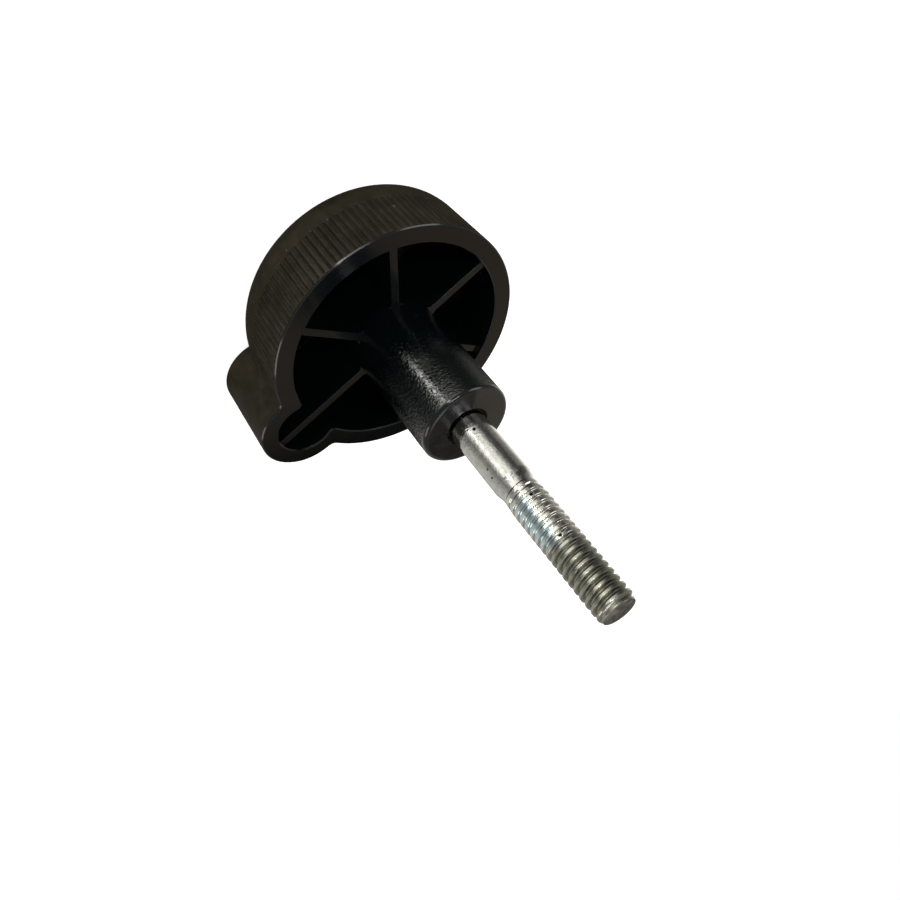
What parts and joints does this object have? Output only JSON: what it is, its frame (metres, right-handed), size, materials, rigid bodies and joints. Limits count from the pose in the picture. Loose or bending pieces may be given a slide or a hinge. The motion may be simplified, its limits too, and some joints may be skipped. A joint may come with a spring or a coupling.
{
  "type": "knurled knob",
  "caption": "Moulded black knob with a knurled rim, a thumb lobe and a ribbed underside, on a long threaded steel stud for clamping and adjusting by hand.",
  "frame": {"origin": "centre of the flat crown face, on the stud's axis", "axes": "+Z along the stud from the crown face to the threaded tip, +X towards the thumb lobe"},
  "size_m": [0.0534, 0.046, 0.0778],
  "materials": {
    "black_plastic": "satin",
    "zinc_steel": "satin"
  },
  "bodies": {
    "root": {"knob_body": "black_plastic", "threaded_stud": "zinc_steel"}
  },
  "joints": []
}
